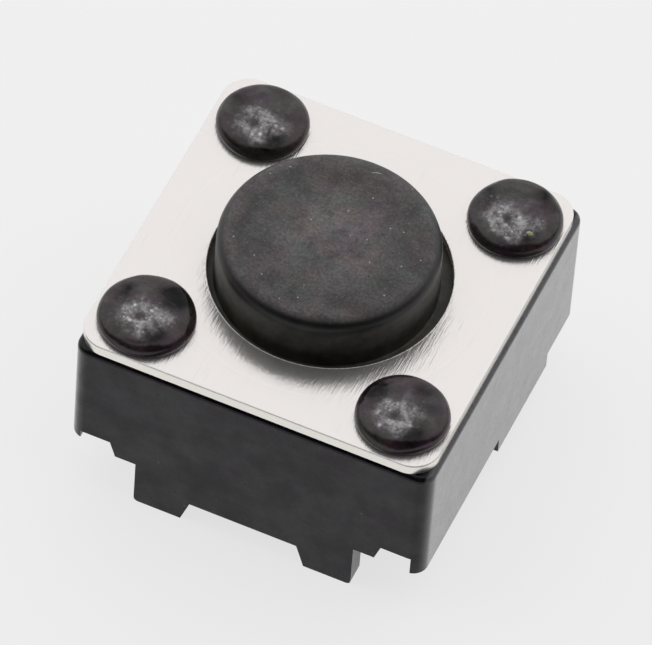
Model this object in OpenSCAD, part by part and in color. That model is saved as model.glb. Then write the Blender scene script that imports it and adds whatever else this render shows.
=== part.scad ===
// Tactile push button switch, 6 mm square, in its real size.
// Millimetres, +Z up. The origin is the middle of the seating plane, so the
// housing's feet and the terminals' solder faces lie at Z = 0.
// The front of the switch faces -Y.

/* [Housing] */
// Side of the square housing
base_w = 6.0; // [5.6:0.1:8]
// Height of the housing's top face above the board
base_h = 3.2; // [2.9:0.05:5]
// Radius of the four upright corners
corner_r = 0.25; // [0.15:0.05:0.45]
// Radius of the edge round the top face
top_edge_r = 0.1; // [0.04:0.02:0.12]
// Thickness of the skirt that hangs below the floor
skirt_t = 0.35; // [0.2:0.05:0.36]
// Height of the floor's underside above the board
underside_z = 1.2; // [1.05:0.05:1.3]
// Height of the right wall's bottom edge
right_wall_z = 0.85; // [0.7:0.05:1]
// Height of the left wall's bottom edge
left_wall_z = 1.05; // [0.7:0.05:1.1]
// Width of the pad that hangs from each side wall
side_pad_w = 1.9; // [1:0.1:2.3]
// Height of that pad above the board
side_pad_z = 0.55; // [0.3:0.05:0.65]
// Diameter of the holes that the mould's support pins leave in the underside
pin_hole_d = 0.5; // [0.3:0.05:0.6]

/* [Feet on the front and back walls] */
// Distance between the two feet of one wall
foot_gap = 2.1; // [1.4:0.1:2.2]
// Width of a foot
foot_w = 0.8; // [0.5:0.05:0.85]
// Radius of a foot's outer lower corner
foot_r = 0.08; // [0.03:0.01:0.12]
// How far a foot's inner flank leans, at the height of the middle edge
foot_lean = 0.14; // [0:0.02:0.2]
// Height of the wall's edge between the feet
mid_edge_z = 0.43; // [0.3:0.02:0.6]
// Height of the step beside a foot
step_z = 0.9; // [0.7:0.05:1]
// Where the step ends, from the middle of the wall
step_end = 2.2; // [2.1:0.05:2.3]
// How far the flank from the step up to the notch leans
notch_lean = 0.1; // [0:0.02:0.14]
// Width of the little foot under each corner
corner_foot_w = 0.2; // [0.12:0.02:0.3]

/* [Heat stakes] */
// Distance between the stakes, both ways
stake_pitch = 4.3; // [4.2:0.02:4.4]
// Diameter of a stake where it passes the plate
stake_d = 1.0; // [0.7:0.05:1.1]
// Diameter of the formed head
head_d = 1.46; // [1.35:0.01:1.55]
// Height of the head above the plate
head_h = 0.28; // [0.2:0.01:0.4]
// Radius of the head's round shoulder
head_rim_r = 0.18; // [0.05:0.01:0.2]
// Height of the head's widest place above the plate
head_rim_z = 0.06; // [0.02:0.01:0.08]
// Diameter of the dimple that the staking tool leaves
dimple_d = 0.4; // [0.2:0.05:0.6]
// Depth of that dimple
dimple_depth = 0.05; // [0.02:0.01:0.06]
// How far the dimple lies off the head's middle, both to the left and to the front
dimple_off = 0.1; // [0:0.01:0.2]

/* [Cover plate] */
// Thickness of the plate
plate_t = 0.2; // [0.15:0.05:0.4]
// How far the plate's edge stays inside the housing's side
plate_inset = 0.03; // [0.01:0.01:0.08]
// Radius of the plate's corners
plate_corner_r = 0.45; // [0.3:0.05:0.7]
// Radius of the plate's upper edge
plate_edge_r = 0.04; // [0.02:0.01:0.12]
// Gap round a stake in its hole
stake_clear = 0.05; // [0.02:0.01:0.1]

/* [Plunger] */
// Diameter of the button
plunger_d = 3.5; // [3:0.1:3.6]
// Height of the button above the plate
plunger_proud = 0.8; // [0.5:0.1:6]
// Radius of the button's upper edge
plunger_edge_r = 0.25; // [0.05:0.05:0.25]
// Gap round the button in the plate's hole
plunger_clear = 0.16; // [0.05:0.01:0.2]
// Diameter of the flange that keeps the button in
flange_d = 4.5; // [4.3:0.05:4.6]
// Thickness of the flange
flange_t = 0.45; // [0.3:0.05:0.5]
// Play over the flange, and between the nib and the dome
flange_play = 0.02; // [0.01:0.01:0.04]
// Gap between the flange and the wall of its bore
flange_clear = 0.1; // [0.05:0.01:0.15]
// Diameter of the nib that presses the dome
nib_d = 1.3; // [0.8:0.1:1.6]
// Travel of the button
travel = 0.25; // [0.15:0.05:0.25]

/* [Snap dome] */
// Diameter of the snap dome
dome_d = 4.1; // [3.8:0.05:4.2]
// Thickness of its sheet
dome_t = 0.07; // [0.05:0.01:0.08]
// Rise of the dome's underside over the floor
dome_rise = 0.4; // [0.35:0.01:0.42]
// Gap round the dome in its pocket
dome_clear = 0.1; // [0.05:0.01:0.1]

/* [Contacts and terminals] */
// Height of the cavity's floor above the board
floor_z = 1.85; // [1.8:0.01:1.9]
// Thickness of the contact sheet
strip_t = 0.2; // [0.15:0.01:0.22]
// Plastic over the sheet where it runs under the floor
strip_cover = 0.2; // [0.15:0.01:0.25]
// Width of a terminal
terminal_w = 0.7; // [0.5:0.05:0.75]
// Distance between the two rows of terminals
terminal_pitch = 4.5; // [4.4:0.05:4.6]
// Distance over the outer faces of one row's two legs
leg_span = 4.0; // [3.6:0.1:4.4]
// Inner radius of the terminals' bends
bend_r = 0.1; // [0.05:0.01:0.15]
// Length of a terminal's solder face, bend included
solder_len = 1.0; // [0.7:0.05:1.2]
// Diameter of the outer contacts
outer_contact_d = 0.4; // [0.3:0.02:0.44]
// How far their middles lie inside the dome's rim
outer_contact_inset = 0.25; // [0.2:0.01:0.3]
// Angle between one outer contact and the next
outer_contact_angle = 60; // [40:5:65]
// Width of the arc that carries the outer contacts
arc_w = 0.5; // [0.46:0.02:0.6]
// How far the arc runs past its last contacts, in degrees
arc_overrun = 12; // [10:1:20]
// Width of the tongue that carries the centre contact
tongue_w = 0.6; // [0.4:0.05:0.8]
// Diameter of the centre contact
centre_contact_d = 0.9; // [0.6:0.05:1]
// Gap that the dome closes over the centre contact
contact_gap = 0.27; // [0.26:0.01:0.3]

/* [Hidden] */
$fn = 96;
eps = 0.01;

half_w = base_w / 2;
inner_half = half_w - skirt_t;
plate_w = base_w - 2 * plate_inset;
plate_top_z = base_h + plate_t;
hole_d = plunger_d + 2 * plunger_clear;
button_top_z = plate_top_z + plunger_proud;
flange_top_z = base_h - flange_play;
flange_bottom_z = flange_top_z - flange_t;
dome_top_z = floor_z + dome_rise + dome_t;
nib_bottom_z = dome_top_z + flange_play;
bore_d = flange_d + 2 * flange_clear;
pocket_d = dome_d + 2 * dome_clear;
ledge_z = flange_bottom_z - travel - flange_clear;
strip_top_z = floor_z - strip_cover;
strip_bottom_z = strip_top_z - strip_t;
centre_contact_z = floor_z + dome_rise - contact_gap;
contact_arc_r = dome_d / 2 - outer_contact_inset;
strip_y = leg_span / 2 - strip_t - bend_r;
arc_half_angle = outer_contact_angle + arc_overrun;

// ---------------------------------------------------------------- helpers

// Calls its children at the four stakes.
module at_stakes() {
    for (sx = [-1, 1], sy = [-1, 1])
        translate([sx * stake_pitch / 2, sy * stake_pitch / 2, 0])
            children();
}

// Section w wide and h high whose two upper corners have the radius r.
module rounded_top_section(w, h, r) {
    translate([-w / 2, 0]) square([w, h - r]);
    translate([-w / 2 + r, 0]) square([w - 2 * r, h]);
    for (s = [-1, 1])
        translate([s * (w / 2 - r), h - r]) circle(r = r);
}

// Square slab with upright corners of radius rc and a top edge of radius re:
// one section run both ways, and a turned post in each corner.
module rounded_slab(w, h, rc, re) {
    for (a = [0, 90])
        rotate([0, 0, a])
            translate([0, w / 2 - rc, 0])
                rotate([90, 0, 0])
                    linear_extrude(w - 2 * rc)
                        rounded_top_section(w, h, re);
    for (sx = [-1, 1], sy = [-1, 1])
        translate([sx * (w / 2 - rc), sy * (w / 2 - rc), 0])
            rotate_extrude()
                intersection() {
                    rounded_top_section(2 * rc, h, re);
                    square([rc, h]);
                }
}

// ---------------------------------------------------------------- housing

// Half of the front wall's lower edge: the middle edge, a foot with a leaning
// inner flank, and the step up to the notch.
module half_wall_outline() {
    foot_in = foot_gap / 2;
    foot_out = foot_in + foot_w;
    difference() {
        polygon([
            [0, underside_z + eps],
            [0, mid_edge_z],
            [foot_in - foot_lean, mid_edge_z],
            [foot_in, 0],
            [foot_out, 0],
            [foot_out, step_z],
            [step_end, step_z],
            [step_end + notch_lean, underside_z + eps],
        ]);
        // the foot's outer lower corner, rounded
        translate([foot_out - foot_r, 0])
            difference() {
                translate([0, -eps]) square([foot_r + eps, foot_r + eps]);
                translate([0, foot_r]) circle(r = foot_r);
            }
    }
}

// The little foot under a corner, where a side wall's bottom edge comes out.
module corner_foot(wall_z) {
    translate([half_w - corner_foot_w, wall_z])
        square([corner_foot_w, underside_z - wall_z + eps]);
}

// What is cut away below the floor from the front and back walls.
module wall_cutter() {
    for (s = [0, 1])
        mirror([0, s, 0])
            translate([0, -inner_half, 0])
                rotate([90, 0, 0])
                    linear_extrude(skirt_t + eps)
                        difference() {
                            translate([-half_w - eps, -eps])
                                square([base_w + 2 * eps, underside_z + eps]);
                            half_wall_outline();
                            mirror([1, 0]) half_wall_outline();
                            corner_foot(right_wall_z);
                            mirror([1, 0]) corner_foot(left_wall_z);
                        }
}

// What is cut away below the side walls. Each wall keeps a pad that hangs
// lower, on its own half of the wall.
module side_cutter() {
    for (side = [[0, right_wall_z], [180, left_wall_z]])
        rotate([0, 0, side[0]])
            difference() {
                translate([inner_half, -half_w - eps, -eps])
                    cube([skirt_t + eps, base_w + 2 * eps, side[1] + eps]);
                translate([inner_half - eps, 0, side_pad_z])
                    cube([skirt_t + 3 * eps, side_pad_w, base_h]);
            }
}

// The holes of the pins that held the contact sheets in the mould: one under
// the middle of each strip and one under the centre contact.
module pin_holes() {
    for (x = [-terminal_pitch / 2, 0, terminal_pitch / 2])
        translate([x, 0, underside_z - eps])
            cylinder(d = pin_hole_d, h = strip_bottom_z - underside_z + 2 * eps);
}

// The bore that holds the flange, over the pocket that holds the dome.
module cavity() {
    translate([0, 0, ledge_z]) cylinder(d = bore_d, h = base_h - ledge_z + eps);
    translate([0, 0, floor_z]) cylinder(d = pocket_d, h = base_h - floor_z);
}

// Section of a stake head from its axis outwards: a nearly flat dome that runs
// smoothly into a round shoulder, which the plate cuts off below.
module head_section() {
    drop = head_h - head_rim_z;
    rim_r = min(head_rim_r, 0.9 * drop);
    rim_x = head_d / 2 - rim_r;
    dome_r = (drop * drop + rim_x * rim_x - rim_r * rim_r) / (2 * (drop - rim_r));
    dome_c = head_h - dome_r;
    k = (dome_r + head_h) / (dome_r - rim_r);
    intersection() {
        union() {
            intersection() {
                translate([0, dome_c]) circle(r = dome_r, $fn = 360);
                polygon([
                    [0, 0],
                    [rim_x, 0],
                    [rim_x, head_rim_z],
                    [k * rim_x, dome_c + k * (head_rim_z - dome_c)],
                    [0, 2 * head_h],
                ]);
            }
            translate([rim_x, head_rim_z]) circle(r = rim_r);
        }
        square([head_d, 2 * head_h]);
    }
}

// A stake through the plate, with the head that the hot tool forms on it.
module stake() {
    translate([0, 0, base_h - eps]) cylinder(d = stake_d, h = plate_t + 2 * eps);
    dimple_r = (dimple_d * dimple_d / 4 + dimple_depth * dimple_depth) / (2 * dimple_depth);
    translate([0, 0, plate_top_z])
        difference() {
            rotate_extrude() head_section();
            translate([-dimple_off, -dimple_off, head_h - dimple_depth + dimple_r])
                sphere(r = dimple_r, $fn = 128);
        }
}

module base() {
    color([0.10, 0.10, 0.11])
        difference() {
            union() {
                rounded_slab(base_w, base_h, corner_r, top_edge_r);
                at_stakes() stake();
            }
            cavity();
            translate([-inner_half, -inner_half, -eps])
                cube([2 * inner_half, 2 * inner_half, underside_z + eps]);
            wall_cutter();
            side_cutter();
            pin_holes();
            outer_frame_shape();
            centre_frame_shape();
        }
}

// ------------------------------------------------------------ cover plate

module cover_plate() {
    color([0.80, 0.79, 0.77])
        translate([0, 0, base_h])
            difference() {
                rounded_slab(plate_w, plate_t, plate_corner_r, plate_edge_r);
                translate([0, 0, -eps]) cylinder(d = hole_d, h = plate_t + 2 * eps);
                at_stakes()
                    translate([0, 0, -eps])
                        cylinder(d = stake_d + 2 * stake_clear, h = plate_t + 2 * eps);
            }
}

// ---------------------------------------------------------------- plunger

module plunger() {
    color([0.09, 0.09, 0.09]) {
        translate([0, 0, flange_bottom_z])
            rotate_extrude()
                intersection() {
                    rounded_top_section(plunger_d, button_top_z - flange_bottom_z, plunger_edge_r);
                    square([plunger_d, button_top_z]);
                }
        translate([0, 0, flange_bottom_z]) cylinder(d = flange_d, h = flange_t);
        translate([0, 0, nib_bottom_z]) cylinder(d = nib_d, h = flange_bottom_z - nib_bottom_z + eps);
    }
}

// -------------------------------------------------------------- snap dome

module snap_dome() {
    rim_r = dome_d / 2;
    rise = dome_rise + dome_t;
    sphere_r = (rim_r * rim_r + rise * rise) / (2 * rise);
    color([0.75, 0.75, 0.73])
        intersection() {
            translate([0, 0, dome_top_z - sphere_r])
                difference() {
                    sphere(r = sphere_r, $fn = 180);
                    sphere(r = sphere_r - dome_t, $fn = 180);
                }
            translate([0, 0, floor_z]) cylinder(r = rim_r + eps, h = rise + eps);
        }
}

// --------------------------------------------------------------- contacts

// One leg of a frame, which runs out along +Y, turns down through the floor
// and is folded flat under the housing.
module leg() {
    lower_z = bend_r + strip_t;
    upper_z = strip_bottom_z - bend_r;
    translate([-terminal_w / 2, strip_y, 0])
        rotate([90, 0, 90])
            linear_extrude(terminal_w) {
                translate([0, upper_z]) bend_section();
                translate([bend_r, lower_z]) square([strip_t, upper_z - lower_z]);
                translate([0, lower_z]) mirror([0, 1]) bend_section();
                translate([bend_r + strip_t - solder_len, 0])
                    square([solder_len - bend_r - strip_t, strip_t]);
            }
}

// Quarter ring of the sheet's thickness.
module bend_section() {
    intersection() {
        difference() {
            circle(r = bend_r + strip_t);
            circle(r = bend_r);
        }
        square(bend_r + strip_t);
    }
}

// The strip of one frame with its two legs.
module strip_with_legs() {
    translate([-terminal_w / 2, -strip_y, strip_bottom_z])
        cube([terminal_w, 2 * strip_y, strip_t]);
    for (a = [0, 180])
        rotate([0, 0, a]) leg();
}

// Fan with its point at the origin, open by half_angle on each side of -X.
// Its far edge is a chain of four chords, all of them beyond 0.8 of reach.
module sector(reach, half_angle) {
    polygon([
        [0, 0],
        for (i = [-2:2]) reach * [-cos(i * half_angle / 2), sin(i * half_angle / 2)],
    ]);
}

module outer_frame_shape() {
    translate([-terminal_pitch / 2, 0, 0]) strip_with_legs();
    // the arc under the dome's rim
    translate([0, 0, strip_bottom_z])
        linear_extrude(strip_t)
            intersection() {
                difference() {
                    circle(r = contact_arc_r + arc_w / 2);
                    circle(r = contact_arc_r - arc_w / 2);
                }
                sector(dome_d, arc_half_angle);
            }
    // the contacts that the rim stands on
    for (a = [-outer_contact_angle, 0, outer_contact_angle])
        rotate([0, 0, 180 + a])
            translate([contact_arc_r, 0, strip_bottom_z])
                cylinder(d = outer_contact_d, h = floor_z - strip_bottom_z);
}

module centre_frame_shape() {
    translate([terminal_pitch / 2, 0, 0]) strip_with_legs();
    translate([0, -tongue_w / 2, strip_bottom_z])
        cube([(terminal_pitch - terminal_w) / 2 + eps, tongue_w, strip_t]);
    translate([0, 0, strip_bottom_z])
        cylinder(d = centre_contact_d, h = centre_contact_z - strip_bottom_z);
}

module outer_contact_frame() {
    color([0.72, 0.62, 0.40]) outer_frame_shape();
}

module centre_contact_frame() {
    color([0.76, 0.66, 0.44]) centre_frame_shape();
}

base();
cover_plate();
plunger();
snap_dome();
outer_contact_frame();
centre_contact_frame();
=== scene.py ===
"""Looks of a 6 mm tactile push button switch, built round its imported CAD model.

The sections follow the switch as it is put together: the contact frames, the housing moulded round
them, the snap dome, the button, the steel cover and the stake heads that hold it. Metres, +Z up.
"""

import bmesh
import bpy
import numpy as np
from mathutils import Matrix, Vector


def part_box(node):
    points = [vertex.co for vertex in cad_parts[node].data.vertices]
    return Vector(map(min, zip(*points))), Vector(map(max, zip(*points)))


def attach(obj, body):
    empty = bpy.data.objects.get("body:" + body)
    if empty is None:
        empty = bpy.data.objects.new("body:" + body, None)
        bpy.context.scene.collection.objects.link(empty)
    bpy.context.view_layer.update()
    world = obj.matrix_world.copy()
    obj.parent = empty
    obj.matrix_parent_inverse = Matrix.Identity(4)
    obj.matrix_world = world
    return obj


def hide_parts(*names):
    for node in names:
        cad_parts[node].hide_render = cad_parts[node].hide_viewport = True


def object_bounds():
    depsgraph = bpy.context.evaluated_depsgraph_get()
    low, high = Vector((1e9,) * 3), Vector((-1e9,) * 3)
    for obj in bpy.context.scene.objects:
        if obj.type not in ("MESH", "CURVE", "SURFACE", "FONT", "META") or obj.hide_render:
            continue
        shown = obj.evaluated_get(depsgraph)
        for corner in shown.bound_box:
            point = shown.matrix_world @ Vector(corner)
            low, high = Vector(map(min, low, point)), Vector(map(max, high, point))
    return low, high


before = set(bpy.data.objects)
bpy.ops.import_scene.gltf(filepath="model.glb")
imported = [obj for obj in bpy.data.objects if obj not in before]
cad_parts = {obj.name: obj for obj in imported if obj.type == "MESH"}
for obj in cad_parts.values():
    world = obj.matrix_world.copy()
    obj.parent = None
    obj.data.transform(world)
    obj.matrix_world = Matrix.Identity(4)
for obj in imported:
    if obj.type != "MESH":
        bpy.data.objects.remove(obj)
cad_low, cad_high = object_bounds()


# ---------------------------------------------------------------- contact frames
# Two frames stamped from silver-plated brass, 0.2 mm thick. The housing is moulded
# round them: each leaves it as two legs, which are folded flat under it to be soldered.

class Value:
    """What a shader socket gives. Sums with it in Python add Math nodes."""

    def __init__(self, nodes, socket):
        self.nodes = nodes
        self.socket = socket

    def _math(self, operation, first, second):
        return self.nodes.node("ShaderNodeMath", {"operation": operation}, {0: first, 1: second})

    def __add__(self, other):
        return self._math("ADD", self, other)

    def __sub__(self, other):
        return self._math("SUBTRACT", self, other)

    def __rsub__(self, other):
        return self._math("SUBTRACT", other, self)

    def __mul__(self, other):
        return self._math("MULTIPLY", self, other)

    def __pow__(self, other):
        return self._math("POWER", self, other)

    def __abs__(self):
        return self._math("ABSOLUTE", self, 0)

    __radd__ = __add__
    __rmul__ = __mul__


class Nodes:
    """A node tree, and the few kinds of node that this switch needs in it."""

    def __init__(self, tree):
        self.tree = tree

    def node(self, kind, settings=None, inputs=None, output=0):
        """Adds one node, with its settings first and then its inputs, and gives one output."""
        made = self.tree.nodes.new(kind)
        for key, value in (settings or {}).items():
            setattr(made, key, value)
        for key, value in (inputs or {}).items():
            if isinstance(value, Value):
                self.tree.links.new(value.socket, made.inputs[key])
            else:
                made.inputs[key].default_value = value
        return Value(self, made.outputs[output])

    def ease(self, value, low, high, start=0.0, end=1.0):
        """Goes smoothly from start to end as value goes from low to high."""
        return self.node("ShaderNodeMapRange", {"interpolation_type": "SMOOTHSTEP"},
                         {0: value, 1: low, 2: high, 3: start, 4: end})

    def mix(self, amount, first, second):
        """Colour between first and second."""
        return self.node("ShaderNodeMix", {"data_type": "RGBA"}, {0: amount, 6: first, 7: second}, 2)


in_mm = 1000  # patterns are counted in millimetres, the meshes in metres


class Finish(Nodes):
    """A material round one Principled shader, with patterns on Object coordinates in millimetres."""

    def __init__(self, name, constants):
        self.material = bpy.data.materials.new(name)
        self.material.use_nodes = True
        super().__init__(self.material.node_tree)
        self.shader = self.tree.nodes["Principled BSDF"]
        for socket, value in constants.items():
            self.shader.inputs[socket].default_value = value
        place = self.node("ShaderNodeTexCoord", output="Object")
        self.place = self.turned(place, scale=(in_mm, in_mm, in_mm))

    def turned(self, vector, scale=(1, 1, 1), turn=(0, 0, 0)):
        """The vector stretched along its axes and turned about them."""
        return self.node("ShaderNodeMapping", {"vector_type": "POINT"},
                         {"Vector": vector, "Scale": scale, "Rotation": turn})

    def axis(self, name):
        """One coordinate of the place, in millimetres."""
        return self.node("ShaderNodeSeparateXYZ", None, {0: self.place}, name)

    def noise(self, per_mm, detail=2.0, roughness=0.5, vector=None):
        """Fractal noise from 0 to 1 with that many waves in a millimetre."""
        return self.node("ShaderNodeTexNoise", None,
                         {"Vector": vector or self.place, "Scale": per_mm, "Detail": detail,
                          "Roughness": roughness})

    def specks(self, per_mm, size, share, dimensions="3D"):
        """1 on round specks of that size, in cells, in the given share of the cells. With 3D cells, a
        face shows only the specks that it cuts; 2D ones stand upright through the piece."""
        kind = {"feature": "F1", "voronoi_dimensions": dimensions}
        cells = {"Vector": self.place, "Scale": per_mm}
        distance = self.node("ShaderNodeTexVoronoi", kind, cells, "Distance")
        colour = self.node("ShaderNodeTexVoronoi", kind, cells, "Color")
        chance = self.node("ShaderNodeSeparateColor", None, {0: colour}, 0)
        return self.ease(distance, size * per_mm, 0.0) * self.ease(chance, 1 - share, 1 - 0.6 * share)

    def feed(self, socket, value):
        """Links a value that varies over the surface to one of the shader's sockets."""
        self.tree.links.new(value.socket, self.shader.inputs[socket])

    def bump(self, height, depth):
        """Feeds the normal with a relief: height 0 to 1 stands for depth in metres."""
        self.feed("Normal", self.node("ShaderNodeBump", None,
                                      {"Height": height, "Distance": depth, "Strength": 1.0}))


def grey(level, tint=(1.0, 1.0, 1.0)):
    """A colour of that level, times a tint."""
    return (level * tint[0], level * tint[1], level * tint[2], 1.0)


def dress(node, material):
    """Gives a CAD node its material."""
    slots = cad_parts[node].material_slots
    if not slots:
        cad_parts[node].data.materials.append(material)
    for slot in slots:
        slot.material = material


def plated_contact():
    """Silver plate gone slightly warm, with rolling lines and a faint tarnish in patches."""
    finish = Finish("plated_contact", {"Metallic": 1.0})
    silver = (0.80, 0.76, 0.66, 1)
    tarnished = (0.60, 0.52, 0.38, 1)
    tarnish = finish.ease(finish.noise(1.8, 3.0), 0.45, 0.7)
    finish.feed("Base Color", finish.mix(tarnish, silver, tarnished))
    lines = finish.noise(30, 2.0, vector=finish.turned(finish.place, (1.0, 0.04, 1.0)))
    finish.feed("Roughness", 0.22 + 0.16 * tarnish + 0.1 * lines)
    finish.bump(lines, 2e-6)
    return finish.material


for contact in ("outer_contact_frame", "centre_contact_frame"):
    dress(contact, plated_contact())


# ---------------------------------------------------------------------- housing
# One moulding in black heat-resistant nylon, with a square skirt that stands on feet.
# The outer faces keep the fine spark-eroded grain of the mould, and a bloom that shows at a slant.

housing_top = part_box("cover_plate")[0].z


def mottled(finish, level, tints, waves, grain=(0.55, 1.5)):
    """Black of that level in patches of three tints, with that many waves in a millimetre. Broad
    clouds scale it, and so does a fine grain, between the two limits given."""
    brown, plum, cool = (grey(level, tint) for tint in tints)
    warm = finish.mix(finish.ease(finish.noise(1.3 * waves, 2.0), 0.38, 0.62), brown, plum)
    tint = finish.mix(finish.ease(finish.noise(waves, 2.0), 0.40, 0.66), warm, cool)
    cloud = finish.ease(finish.noise(1.7 * waves, 5.0, 0.66), 0.33, 0.67, 0.62, 1.42)
    fine = finish.ease(finish.noise(20, 3.0, 0.65), 0.3, 0.72, *grain)
    return finish.node("ShaderNodeVectorMath", {"operation": "SCALE"}, {0: tint, "Scale": cloud * fine})


def housing_black():
    """Satin black nylon under a thin clear skin of its own resin, uneven in gloss and fullest on the
    right wall. Its round top edge on the right is painted paler in broken patches, a painted highlight
    for the light it catches. Dull specks of filler, dark pits and a few dust grains lie over it."""
    finish = Finish("housing_black", {"Specular IOR Level": 0.06,
                                      "Coat IOR": 1.35, "Coat Roughness": 0.1,
                                      "Sheen Weight": 1.0, "Sheen Roughness": 0.3})
    right = in_mm * cad_high.x
    top = in_mm * housing_top
    filler = finish.specks(14, 0.013, 0.25)
    dust = finish.specks(4.1, 0.028, 0.16)
    pit = finish.specks(5.2, 0.032, 0.2)
    tints = (1.6, 0.75, 1.1), (1.5, 0.6, 1.8), (0.85, 0.85, 1.35)
    speckled = finish.mix(0.5 * filler, mottled(finish, 0.0065, tints, 1.6), grey(0.12))
    # Painted highlight: the round top edge of the right wall is painted paler in broken patches.
    right_edge = finish.ease(finish.axis("X"), right - 0.13, right - 0.07)
    top_edge = finish.ease(finish.axis("Z"), top - 0.13, top - 0.05)
    edge_light_breakup = finish.ease(finish.noise(9, 4.0, 0.65), 0.25, 0.6, 0.55, 1.0)
    painted_edge_light = finish.mix(right_edge * top_edge * edge_light_breakup, speckled, grey(0.12, (1.0, 0.97, 1.05)))
    finish.feed("Base Color", finish.mix(0.6 * dust, painted_edge_light, grey(0.3, (1.0, 0.97, 0.92))))
    skin = finish.ease(finish.noise(1.9, 6.0, 0.66), 0.3, 0.7, 0.45, 0.8)
    full = finish.ease(finish.axis("X"), right - 0.1, right - 0.02)
    finish.feed("Coat Weight", (skin + full * (1 - skin)) * finish.ease(pit, 0.0, 1.0, 1.0, 0.3))
    finish.feed("Roughness", finish.ease(finish.noise(2.6, 4.0, 0.6), 0.3, 0.7, 0.2, 0.34))
    finish.bump(finish.noise(30, 3.0, 0.6) + 0.8 * filler + 2.0 * dust - 1.5 * pit, 2e-6)
    return finish.material


dress("base", housing_black())


# -------------------------------------------------------------------- snap dome
# A stainless disc pressed into a shallow dome. It rests on the outer contacts, and
# snaps down onto the centre contact when the button is pressed.

def spring_steel():
    """Bare spring steel with the faint lines of its rolling."""
    finish = Finish("spring_steel", {"Metallic": 1.0})
    lines = finish.noise(24, 2.0, vector=finish.turned(finish.place, (1.0, 0.05, 1.0), (0, 0, 0.4)))
    finish.feed("Base Color", finish.mix(lines, grey(0.62), grey(0.78)))
    finish.feed("Roughness", 0.16 + 0.12 * lines)
    finish.bump(lines, 1.5e-6)
    return finish.material


dress("snap_dome", spring_steel())


# ----------------------------------------------------------------------- button
# A black moulding: a round button with a flange that keeps it under the cover, and
# a nib below that presses the dome. The top is matte with a softly rounded edge.

def fillet(before, corner, after, radius, steps=8):
    """Points round a corner of a profile: a tangent arc of that radius, and one point on each
    side a little beyond it, which keeps the flats flat."""
    beyond = 1.15
    before, corner, after = (np.array(p, float) for p in (before, corner, after))
    inwards = (before - corner) / np.linalg.norm(before - corner)
    outwards = (after - corner) / np.linalg.norm(after - corner)
    half = np.arccos(np.clip(inwards @ outwards, -1, 1)) / 2
    reach = radius / np.tan(half)
    centre = corner + (inwards + outwards) / np.linalg.norm(inwards + outwards) * radius / np.sin(half)
    first = corner + inwards * reach - centre
    last = corner + outwards * reach - centre
    sweep = np.arccos(np.clip(first @ last / radius**2, -1, 1))
    share = np.linspace(0, 1, steps + 1)[:, None]
    arc = (np.sin((1 - share) * sweep) * first + np.sin(share * sweep) * last) / np.sin(sweep)
    return np.vstack([corner + beyond * reach * inwards, centre + arc,
                      corner + beyond * reach * outwards])


def profile(corners):
    """Outline through corners (distance, height, fillet radius); the ends stay as they are."""
    points = [np.array([corners[0][:2]])]
    for before, corner, after in zip(corners, corners[1:], corners[2:]):
        points.append(fillet(before[:2], corner[:2], after[:2], corner[2]))
    points.append(np.array([corners[-1][:2]]))
    return np.vstack(points)


def surface(name, grid, closed_rows=False, values=None):
    """Mesh over a grid of points, (rows, columns, 3), whose columns close into a ring. Rows that
    shrink to one point are merged there, and closed_rows joins the last row to the first. Each
    array in values becomes an attribute of that name."""
    merge_within = 1e-8
    rows, columns = grid.shape[:2]
    index = np.arange(rows * columns).reshape(rows, columns)
    index = np.hstack([index, index[:, :1]])
    if closed_rows:
        index = np.vstack([index, index[:1]])
    quads = np.stack([index[:-1, :-1], index[:-1, 1:], index[1:, 1:], index[1:, :-1]], axis=-1)
    mesh = bpy.data.meshes.new(name)
    mesh.from_pydata(grid.reshape(-1, 3), [], quads.reshape(-1, 4).tolist())
    for key, array in (values or {}).items():
        mesh.attributes.new(key, "FLOAT", "POINT").data.foreach_set("value", array.ravel())
    shape = bmesh.new()
    shape.from_mesh(mesh)
    bmesh.ops.remove_doubles(shape, verts=shape.verts, dist=merge_within)
    bmesh.ops.recalc_face_normals(shape, faces=shape.faces)
    shape.to_mesh(mesh)
    shape.free()
    mesh.shade_smooth()
    piece = bpy.data.objects.new(name, mesh)
    bpy.context.scene.collection.objects.link(piece)
    return piece


def turned(outline, segments, centre=(0, 0)):
    """Grid of a profile (radius, height) turned about the upright line through centre."""
    angle = np.linspace(0, 2 * np.pi, segments, endpoint=False)
    radius, height = outline[:, :1], outline[:, 1:]
    return np.stack([centre[0] + radius * np.cos(angle), centre[1] + radius * np.sin(angle),
                     height + 0 * angle], axis=-1)


plunger_low, plunger_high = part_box("plunger")
button_r = 1.75e-3
button_round = 0.25e-3
nib_r = 0.65e-3
nib_height = 0.39e-3
flange_r = plunger_high.x
flange_thickness = 0.45e-3
flange_bottom = plunger_low.z + nib_height
flange_top = flange_bottom + flange_thickness
mould_round = 0.03e-3
button_centre = (-0.07e-3, 0.0)  # it has play in the hole, and stands to the left
button_segments = 256
button_outline = profile([
    (0, plunger_low.z, 0),
    (nib_r, plunger_low.z, mould_round),
    (nib_r, flange_bottom, mould_round),
    (flange_r, flange_bottom, mould_round),
    (flange_r, flange_top, mould_round),
    (button_r, flange_top, mould_round),
    (button_r, plunger_high.z, button_round),
    (0, plunger_high.z, 0),
])
button = surface("button", turned(button_outline, button_segments, button_centre))


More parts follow.
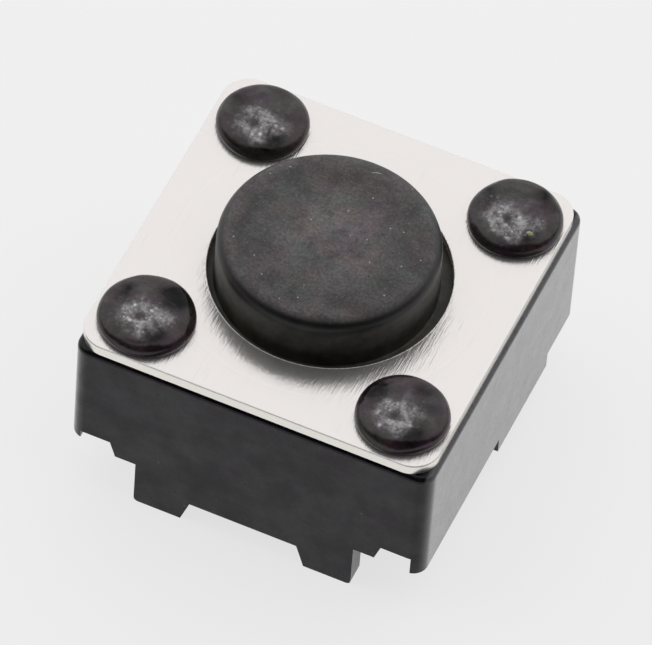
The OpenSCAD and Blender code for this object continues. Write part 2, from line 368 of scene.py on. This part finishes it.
def button_black():
    """Black nylon. The top is eroded, pale and speckled, palest in the middle and at the rim, with a
    few painted glints. The shoulder under it is smooth, and painted darkest as painted shade. The side
    is painted olive in patches, a painted highlight."""
    finish = Finish("button_black", {"Specular IOR Level": 0.5})
    across = finish.axis("X") - in_mm * button_centre[0]
    reach = (across ** 2 + finish.axis("Y") ** 2) ** 0.5
    top = in_mm * plunger_high.z
    bend = in_mm * (plunger_high.z - button_round)
    flat = finish.ease(finish.axis("Z"), top - 0.09, top - 0.01)
    shoulder = finish.ease(finish.axis("Z"), bend - 0.09, bend + 0.11)
    cloudy = finish.noise(1.1, 2.0)
    middle = finish.ease(reach + 0.5 * cloudy, 1.75, 0.4)
    rim = finish.ease(reach + 0.3 * cloudy, 1.5, 1.75)
    tints = (1.14, 0.94, 0.90), (1.12, 0.88, 1.02), (0.93, 0.97, 0.97)
    worn = finish.mix(middle + 0.5 * rim, mottled(finish, 0.062, tints, 1.4, (0.66, 1.32)),
                      mottled(finish, 0.104, tints, 1.6, (0.72, 1.32)))
    pit = finish.specks(6.3, 0.018, 0.3, "2D")
    filler = finish.specks(9.7, 0.014, 0.4, "2D")
    # Painted glints: a few bright specks on the top.
    painted_glint = finish.specks(4.3, 0.020, 0.18, "2D")
    pitted = finish.mix(0.8 * pit, worn, grey(0.008))
    speckled = finish.mix(0.32 * filler, pitted, grey(0.5, (1.0, 0.98, 0.96)))
    patches = finish.ease(finish.noise(3, 4.0, 0.6), 0.3, 0.7)
    # Painted highlight: the side is painted olive in patches.
    bare, olive_highlight_paint = (0.022, 0.022, 0.018, 1), (0.070, 0.068, 0.054, 1)
    side = finish.mix(patches, bare, olive_highlight_paint)
    # Painted shade: the shoulder under the top's edge is painted darkest.
    smooth = finish.mix(shoulder, side, finish.mix(patches, grey(0.006), grey(0.014)))
    bright = finish.mix(0.9 * painted_glint, speckled, grey(0.6))
    finish.feed("Base Color", finish.mix(flat, smooth, bright))
    finish.feed("Roughness", 0.55 - 0.14 * shoulder + 0.29 * flat)
    relief = 0.8 * finish.noise(18, 3.0, 0.65) + filler + 1.5 * painted_glint - 1.5 * pit
    finish.bump(flat * relief + 0.4 * finish.noise(9, 4.0, 0.65), 4e-6)
    return finish.material


button.data.materials.append(button_black())
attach(button, "button")
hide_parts("plunger")


def thread(name, path, radius, sides=8):
    """A round tube along a nearly level path, whose thickness goes as an ellipse to nothing at each
    end: each ring is the path's point plus radius * (cos across + sin up)."""
    across = np.cross(np.gradient(path, axis=0), (0, 0, 1))
    across /= np.linalg.norm(across, axis=1, keepdims=True)
    turn = np.linspace(0, 2 * np.pi, sides, endpoint=False)[None, :, None]
    thick = radius * np.sqrt(1 - np.linspace(-1, 1, len(path)) ** 2)[:, None, None]
    spoke = np.cos(turn) * across[:, None] + np.sin(turn) * np.array([0, 0, 1])
    return surface(name, path[:, None] + thick * spoke)


def bowed(start, end, bow, steps=24):
    """A parabola from start to end that bows sideways by that much: 4 * bow * share * (1 - share)
    off the straight line."""
    share = np.linspace(0, 1, steps)[:, None]
    start, end = np.array(start), np.array(end)
    sideways = np.array([end[1] - start[1], start[0] - end[0], 0]) / np.linalg.norm(end - start)
    return start + (end - start) * share + 4 * bow * share * (1 - share) * sideways


def lint():
    """Pale cotton lint that lies where it has settled."""
    finish = Finish("lint", {"Specular IOR Level": 0.3, "Roughness": 0.8})
    cotton = grey(0.75, (1.0, 0.98, 0.95))
    finish.feed("Base Color", finish.mix(finish.noise(9, 2.0), grey(0.42), cotton))
    return finish.material


fibre_r = 8e-6
fibre_sunk = 3e-6
fibre_z = plunger_high.z - fibre_sunk
fibre_path = bowed((-0.01e-3, 1.425e-3, fibre_z), (0.14e-3, 1.470e-3, fibre_z), -0.015e-3)
fibre = thread("fibre_on_button", fibre_path, fibre_r)
fibre.data.materials.append(lint())
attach(fibre, "button")


# ------------------------------------------------------------------ steel cover
# A plate stamped from 0.2 mm stainless sheet with a round hole for the button. Its
# top is brushed from front to back, and the punch has rolled and polished its edges.

def rounded_square(half, corner, side_steps=40, corner_steps=20):
    """Points round a square with round corners: along each side, then round each corner."""
    along = np.linspace(-1, 1, side_steps, endpoint=False) * (half - corner)
    turn = np.linspace(0, np.pi / 2, corner_steps, endpoint=False)
    x = np.concatenate([half + 0 * along, half - corner + corner * np.cos(turn)])
    y = np.concatenate([along, half - corner + corner * np.sin(turn)])
    quarter = (x + 1j * y)[None, :] * 1j ** np.arange(4)[:, None]
    return np.stack([quarter.real.ravel(), quarter.imag.ravel()], axis=-1)


cover_low, cover_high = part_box("cover_plate")
cover_half = cover_high.x
cover_corner = 0.45e-3
hole_r = 1.91e-3
edge_strip = 0.25e-3
hole_round = 0.012e-3
rim_round = 0.007e-3
burr_round = 0.010e-3
outline = rounded_square(cover_half, cover_corner)
bearing = np.arctan2(outline[:, 1], outline[:, 0])
roll_width = 0.65e-3
roll_depth = 0.026e-3
roll_start = 0.03e-3  # where the round edge of the hole has ended
roll_steps = 20


def rolled(reach):
    """Height of the top at that distance from the hole, where the punch has drawn it down: less by
    depth * (1 - reach / width) squared."""
    return cover_high.z - roll_depth * (1 - reach / roll_width) ** 2


roll = np.linspace(roll_start, roll_width, roll_steps)
hole_edge = np.vstack([profile([(edge_strip, cover_low.z, 0), (0, cover_low.z, burr_round),
                                (0, rolled(0), hole_round), (roll[0], rolled(roll[0]), 0)]),
                       np.column_stack([roll, rolled(roll)])[1:]])
outer_edge = profile([(edge_strip, cover_high.z, 0), (0, cover_high.z, rim_round),
                      (0, cover_low.z, burr_round), (edge_strip, cover_low.z, 0)])
hole_rings = np.stack([(hole_r + hole_edge[:, :1]) * np.cos(bearing),
                       (hole_r + hole_edge[:, :1]) * np.sin(bearing),
                       hole_edge[:, 1:] + 0 * bearing], axis=-1)
outer_rings = np.stack([np.column_stack([rounded_square(cover_half - inset, cover_corner - inset),
                                         np.full(len(outline), height)])
                        for inset, height in outer_edge])
cover_shift = (-0.025e-3, 0, 0)  # it has play round the stakes
cover = surface("cover_sheet", np.concatenate([hole_rings, outer_rings]) + cover_shift,
                closed_rows=True)


def brushed_steel():
    """Stainless with brush lines along Y, fine and broad, crossed by short ones and a few cuts. The
    sheared edges are smooth and a little yellow, and the rim of the hole keeps a rough burr."""
    finish = Finish("brushed_steel", {"Metallic": 0.83})
    x, y, z = (finish.axis(name) for name in "XYZ")
    top = in_mm * cover_high.z
    hole = in_mm * hole_r
    reach = ((x - in_mm * cover_shift[0]) ** 2 + y ** 2) ** 0.5
    drawn_in = finish.ease(reach, in_mm * (hole_r + roll_width), hole, 0.0, in_mm * roll_depth)
    edge = finish.ease(z + drawn_in, top - 0.012, top - 0.03)
    burr = finish.ease(abs(reach - (hole + 0.004)), 0.018, 0.008)
    along = finish.turned(finish.place, (1.0, 0.03, 1.0), (0, 0, 0.03))
    stubby = finish.turned(finish.place, (1.0, 0.3, 1.0), (0, 0, 0.05))
    askew = finish.turned(finish.place, (1.0, 0.06, 1.0), (0, 0, -0.02))
    lines = 0.6 * finish.noise(42, 2.0, 0.7, along) + 0.4 * finish.noise(10, 3.0, 0.6, along)
    short = finish.noise(24, 2.0, 0.6, stubby)
    cut = finish.ease(finish.noise(23, 1.0, vector=askew), 0.66, 0.78)
    pale, dull = (0.775, 0.742, 0.725, 1), (0.760, 0.727, 0.710, 1)
    grooved, bright, dark_at_burr = (0.55, 0.54, 0.53, 1), (0.95, 0.93, 0.87, 1), (0.16, 0.155, 0.13, 1)
    scored = finish.mix(0.15 * cut, finish.mix(lines, pale, dull), grooved)
    sheared = finish.mix(edge, scored, bright)
    # Darker in broken patches right at the rim of the hole.
    chipped = burr * finish.ease(finish.noise(26, 3.0, 0.7), 0.42, 0.58)
    finish.feed("Base Color", finish.mix(0.6 * chipped, sheared, dark_at_burr))
    finish.feed("Roughness", 0.16 + 0.10 * lines + 0.3 * burr)
    brushing = (4.6 * lines + 1.6 * short) * finish.ease(edge, 1.0, 0.0)
    finish.bump(brushing + 3.0 * burr * finish.noise(22, 2.0), 1.6e-6)
    return finish.material


cover.data.materials.append(brushed_steel())
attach(cover, "root")
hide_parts("cover_plate")


# ------------------------------------------------------------------ stake heads
# Four pegs of the housing stand up through the cover. A hot tool melts each into a low lumpy
# dome, glossy round its rim, with a rough pale crater a little to one side where the tool let go.

stake_pitch = 4.3e-3
head_height = 0.295e-3
moulded_r = 0.73e-3
moulded_height = 0.28e-3
rim_r = 0.18e-3
rim_z = 0.06e-3
pit_place = (-0.055, -0.21)  # in millimetres from the middle of the head, as in the relief below
pit_rim_r = 0.19


def lattice_noise(x, y, cell, seed):
    """Smooth noise from -1 to 1: random values on a square lattice with cells of that size, blended
    between its points by share^2 * (3 - 2 * share)."""
    side = 64
    values = np.random.default_rng(seed).uniform(-1, 1, (side, side))
    u, v = x / cell + side // 2, y / cell + side // 2
    i, j = np.floor(u).astype(int), np.floor(v).astype(int)
    fu, fv = u - i, v - j
    fu, fv = fu * fu * (3 - 2 * fu), fv * fv * (3 - 2 * fv)
    i, j, right, up = i % side, j % side, (i + 1) % side, (j + 1) % side
    low = values[i, j] * (1 - fu) + values[right, j] * fu
    high = values[i, up] * (1 - fu) + values[right, up] * fu
    return low * (1 - fv) + high * fv


def dome_outline(head_r, top):
    """Profile of a head of that radius and height: an arc from the plate round the shoulder, and a
    nearly flat spherical cap that runs into it."""
    cap_steps, rim_steps = 100, 30
    rim_x = head_r - rim_r
    drop = top - rim_z
    cap_r = (drop**2 + rim_x**2 - rim_r**2) / (2 * (drop - rim_r))
    cap_z = top - cap_r
    meet = np.arctan2(rim_x, rim_z - cap_z)
    cap = np.linspace(meet, 0, cap_steps)
    rim = np.linspace(-np.arcsin(rim_z / rim_r), np.pi / 2 - meet, rim_steps)[:-1]
    return np.vstack([[[0.0, 0.0]],
                      np.column_stack([rim_x + rim_r * np.cos(rim), rim_z + rim_r * np.sin(rim)]),
                      np.column_stack([cap_r * np.sin(cap), cap_z + cap_r * np.cos(cap)])])


def stake_head(place, centre, head_r, highlight_lobe, wear, seed):
    """The turned profile, made faintly lobed, with lumps, a pit in a raised ring, and a rough skin
    added to its height. The skin stays over the moulded head below: what is left between them is
    softness * log(1 + exp(gap / softness)). "torn" says how rough each point is: wear scales it,
    and a weight adds a pale place at the right, partly a painted highlight. The other attribute
    says where the head is painted dark, a painted dark reflection."""
    softness = 4e-6
    least_gap = 3e-6
    segments = 192
    grid = turned(dome_outline(head_r, head_height), segments)
    bearing = np.arctan2(grid[..., 1], grid[..., 0])
    lobes = 1 + 0.005 * np.sin(3 * bearing + seed) + 0.003 * np.sin(5 * bearing + 2 * seed)
    grid[..., :2] *= lobes[..., None]
    x, y, z = np.moveaxis(grid, -1, 0)
    inner = 1 - (np.hypot(x, y) / head_r) ** 10
    above = np.where(z > rim_z, np.clip(inner, 0, 1), 0)

    def bell(right, back, width):
        """1 at a place given in millimetres from the middle, and falling off round it."""
        return np.exp(-((x / 1e-3 - right) ** 2 + (y / 1e-3 - back) ** 2) / width**2)

    def rough(cell, number):
        """Noise of this head with cells of that size in millimetres."""
        return lattice_noise(x, y, cell * 1e-3, seed + number)

    cloud = rough(0.15, 3) + 0.6 * rough(0.06, 4)
    from_pit = np.hypot(x / 1e-3 - pit_place[0], y / 1e-3 - pit_place[1])
    ring = np.exp(-((from_pit - pit_rim_r) / 0.11) ** 2)
    # The bell at the right, weighted per head, makes a pale rough place, partly a painted highlight.
    torn = (0.70 * ring + 0.34 * bell(-0.03, -0.16, 0.46) - 0.40 * bell(*pit_place, 0.09)
            + 0.35 * bell(0.10, -0.48, 0.11) + highlight_lobe * bell(0.37, -0.08, 0.15))
    torn = np.clip(wear * torn * (1 + 0.55 * cloud), 0, 1) * above
    # Painted dark reflection: patches where the head is painted nearly black and mirrors less.
    painted_dark = (0.9 * bell(0.33, -0.42, 0.20) + 0.9 * bell(0.33, 0.42, 0.26)
             + 0.8 * bell(-0.52, 0.12, 0.22) + 0.3 * bell(-0.15, -0.58, 0.16))
    painted_dark = np.clip(painted_dark * (0.95 + 1.4 * rough(0.35, 5)) * (1 + 0.4 * cloud), 0, 1) * above
    lumps = (26e-6 * rough(0.20, 2) + 16e-6 * ring + 18e-6 * bell(0.36, -0.05, 0.16)
             - 14e-6 * bell(*pit_place, 0.12) - 24e-6 * bell(0.17, -0.10, 0.10)
             - 14e-6 * bell(0.05, -0.50, 0.2))
    relief = lumps + torn * (5e-6 * rough(0.07, 0) + 2e-6 * rough(0.03, 1))
    moulded = dome_outline(moulded_r, moulded_height)
    moulded = moulded[moulded[:, 1] >= rim_z][::-1]
    under = np.interp(np.hypot(x, y), moulded[:, 0], moulded[:, 1]) + least_gap
    skin = under + softness * np.logaddexp(0, (z + above * relief - under) / softness)
    grid[..., 2] = cover_high.z + np.where(z > rim_z, skin, z)
    grid[..., :2] += np.array(centre)
    return surface("stake_head_" + place, grid, values={"torn": torn, "painted_dark": painted_dark})


def melted_black():
    """The same black, glossy where it has melted, rough and pale round the crater, where bright specks
    are painted glints. In patches it is painted nearly black and mirrors less, as Metallic over a dark
    colour gives: a painted dark reflection."""
    finish = Finish("melted_black", {"Specular IOR Level": 0.42})
    torn = finish.node("ShaderNodeAttribute", {"attribute_name": "torn"}, None, "Fac")
    crumb = 0.35 * finish.noise(22, 2.0, 0.6) + 0.65 * finish.noise(8, 2.0, 0.6)
    pale = finish.ease(torn * (0.35 + 1.4 * crumb), 0.0, 1.25)
    painted_dark = finish.node("ShaderNodeAttribute", {"attribute_name": "painted_dark"}, None, "Fac") * (1 - pale)
    # Painted glints: bright specks in the pale crater.
    painted_spark = finish.specks(7, 0.050, 0.6) + 0.8 * finish.specks(15, 0.024, 0.5)
    tints = (1.55, 0.88, 0.97), (1.50, 0.72, 1.30), (1.08, 1.0, 0.85)
    # Painted dark reflection: the marked patches are painted nearly black here, and Metallic below
    # makes them mirror less.
    skin = finish.mix(painted_dark, mottled(finish, 0.024, tints, 2.2, (0.7, 1.35)), grey(0.008))
    powder = finish.mix(finish.ease(crumb, 0.35, 0.65), grey(0.11, (1.05, 0.93, 1.0)),
                        grey(0.40, (1.0, 0.97, 0.98)))
    finish.feed("Base Color", finish.mix(painted_spark * pale, finish.mix(pale, skin, powder), grey(0.85)))
    finish.feed("Metallic", 0.9 * painted_dark)
    finish.feed("Roughness", 0.16 + 0.16 * finish.noise(4, 2.0) + 0.25 * pale)
    finish.bump(0.7 * pale * finish.noise(24, 3.0) + 1.6 * finish.noise(3.6, 2.0), 7e-6)
    return finish.material


melted = melted_black()
# For each head: which corner, its radius, how strong the pale place at its right is (partly a painted
# highlight), and how worn it is.
heads = {"front_left": ((-1, -1), 0.770e-3, 0.50, 1.0), "front_right": ((1, -1), 0.738e-3, 0.15, 0.9),
         "back_left": ((-1, 1), 0.736e-3, 0.40, 1.0), "back_right": ((1, 1), 0.752e-3, 0.20, 1.45)}
for number, (place, (signs, radius, highlight_lobe, wear)) in enumerate(heads.items()):
    middle = (signs[0] * stake_pitch / 2, signs[1] * stake_pitch / 2)
    head = stake_head(place, middle, radius, highlight_lobe, wear, 10 + 10 * number)
    head.data.materials.append(melted)
    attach(head, "root")


def crumb_of_flux():
    """Pale yellow-green resin, faintly clouded."""
    finish = Finish("flux_crumb", {"Specular IOR Level": 0.4, "Roughness": 0.55})
    deep, pale = (0.30, 0.31, 0.15, 1), (0.46, 0.46, 0.26, 1)
    finish.feed("Base Color", finish.mix(finish.noise(12, 2.0), deep, pale))
    return finish.material


def oval_crumb(place, half_length, half_width, height):
    """The upper part of an ellipsoid, closed below: a turned arc of that height and half length,
    drawn together along Y to the half width."""
    below, steps, segments = 0.4, 14, 32
    rise = np.linspace(-below, np.pi / 2, steps)
    grid = turned(np.column_stack([half_length * np.cos(rise), height * np.sin(rise)]), segments)
    grid[..., 1] *= half_width / half_length
    return grid + place


grain = surface("flux_grain", oval_crumb((2.521e-3, 1.827e-3, 3.655e-3), 0.060e-3, 0.045e-3, 0.042e-3))
grain.data.materials.append(crumb_of_flux())
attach(grain, "root")


# ------------------------------------------------------------- floor and light
# A white floor, pale to the camera and in reflections, that keeps a soft shadow. The light is a
# white sky with a dim side where the camera stands, dark low down there.

azimuth, elevation = np.radians([20.613, 51.52])
camera_back = Vector((np.sin(azimuth) * np.cos(elevation), -np.cos(azimuth) * np.cos(elevation),
                      np.sin(elevation)))
backdrop = 0.863  # level at which the camera sees the floor and the sky


def seen(finish):
    """1 for rays from the camera and for those off gloss or through glass."""
    straight, mirrored, through = (finish.node("ShaderNodeLightPath", None, None, ray) for ray in
                                   ("Is Camera Ray", "Is Glossy Ray", "Is Transmission Ray"))
    bent = finish.node("ShaderNodeMath", {"operation": "MAXIMUM"}, {0: mirrored, 1: through})
    return finish.node("ShaderNodeMath", {"operation": "MAXIMUM"}, {0: straight, 1: bent})


def white_floor():
    """Matte white. Seen rays take most of its tone straight, so that the shadow on it stays faint,
    and nothing of it is seen from below."""
    finish = Finish("white_floor", {})
    tree = finish.tree
    share = 0.78
    tone = grey(1.08 * backdrop)
    matte = finish.node("ShaderNodeBsdfDiffuse", None, {"Color": grey(backdrop)})
    plain = finish.node("ShaderNodeEmission", None, {"Color": tone, "Strength": 1.0})
    clear = finish.node("ShaderNodeBsdfTransparent")
    front = finish.node("ShaderNodeMixShader", None, {0: share * seen(finish), 1: matte, 2: plain})
    under = finish.node("ShaderNodeNewGeometry", None, None, "Backfacing")
    shown = finish.node("ShaderNodeMixShader", None, {0: under, 1: front, 2: clear})
    tree.links.new(shown.socket, tree.nodes["Material Output"].inputs["Surface"])
    return finish.material


floor_half = 0.6
floor_corners = floor_half * np.array([[-1, -1, 0], [1, -1, 0], [1, 1, 0], [-1, 1, 0]])
floor_mesh = bpy.data.meshes.new("floor")
floor_mesh.from_pydata(floor_corners, [], [(0, 1, 2, 3)])
floor = bpy.data.objects.new("floor", floor_mesh)
bpy.context.scene.collection.objects.link(floor)
floor.data.materials.append(white_floor())

world = bpy.data.worlds.new("white_sky")
bpy.context.scene.world = world
world.use_nodes = True
# The sky is nearly dark in an oval patch behind the camera, and low down on that side and to the
# left and right of the switch. All round, it falls to half its strength at the horizon.
sky = Nodes(world.node_tree)
direction = sky.node("ShaderNodeTexCoord", output="Generated")
lowered = sky.node("ShaderNodeVectorMath", {"operation": "MULTIPLY"}, {0: direction, 1: (1, 1, 0.6)})
unit = sky.node("ShaderNodeVectorMath", {"operation": "NORMALIZE"}, {0: lowered})
dim_height = np.radians(30)
dim_middle = (np.sin(azimuth) * np.cos(dim_height), -np.cos(azimuth) * np.cos(dim_height),
              np.sin(dim_height))
dim_core, dim_border = np.radians([30, 54])
white, dark = 1.15, 0.02
towards = sky.node("ShaderNodeVectorMath", {"operation": "DOT_PRODUCT"},
                   {0: unit, 1: dim_middle}, "Value")
clear = sky.ease(towards, np.cos(dim_border), np.cos(dim_core), white, dark)
height = sky.node("ShaderNodeSeparateXYZ", None, {0: direction}, "Z")
above_or_behind = sky.node("ShaderNodeVectorMath", {"operation": "DOT_PRODUCT"},
                           {0: direction, 1: (-np.sin(azimuth), np.cos(azimuth), 1)}, "Value")
lit = clear * sky.ease(above_or_behind, 0.1, 0.65, dark, 1.0) * sky.ease(height, 0.0, 0.3, 0.5, 1.0)
to_camera = sky.node("ShaderNodeLightPath", None, None, "Is Camera Ray")
strength = sky.node("ShaderNodeMix", {"data_type": "FLOAT"}, {0: to_camera, 2: lit, 3: backdrop})
background = world.node_tree.nodes["Background"]
background.inputs["Color"].default_value = (1, 1, 1, 1)
world.node_tree.links.new(strength.socket, background.inputs["Strength"])


# ----------------------------------------------------------------------- camera
# A long lens, 150 mm from the switch, that looks down on its front right corner. The
# camera is tipped a few degrees, so the upright edges lean.

camera_distance = 0.150
camera_roll = np.radians(4.65)
camera_aim = Vector((-3.6e-6, -57.5e-6, 2.158e-3))
level_right = Vector((np.cos(azimuth), np.sin(azimuth), 0))
level_up = camera_back.cross(level_right)
camera_right = np.cos(camera_roll) * level_right + np.sin(camera_roll) * level_up
camera_up = camera_back.cross(camera_right)
camera = bpy.data.objects.new("camera", bpy.data.cameras.new("camera"))
camera.data.lens = 533.7
camera.data.sensor_width = 36
camera.data.clip_start = 0.01
camera.data.clip_end = 10
camera.matrix_world = Matrix.Translation(camera_aim + camera_distance * camera_back) @ Matrix((
    camera_right, camera_up, camera_back)).transposed().to_4x4()
bpy.context.scene.collection.objects.link(camera)
bpy.context.scene.camera = camera
bpy.context.scene.view_settings.view_transform = "Standard"
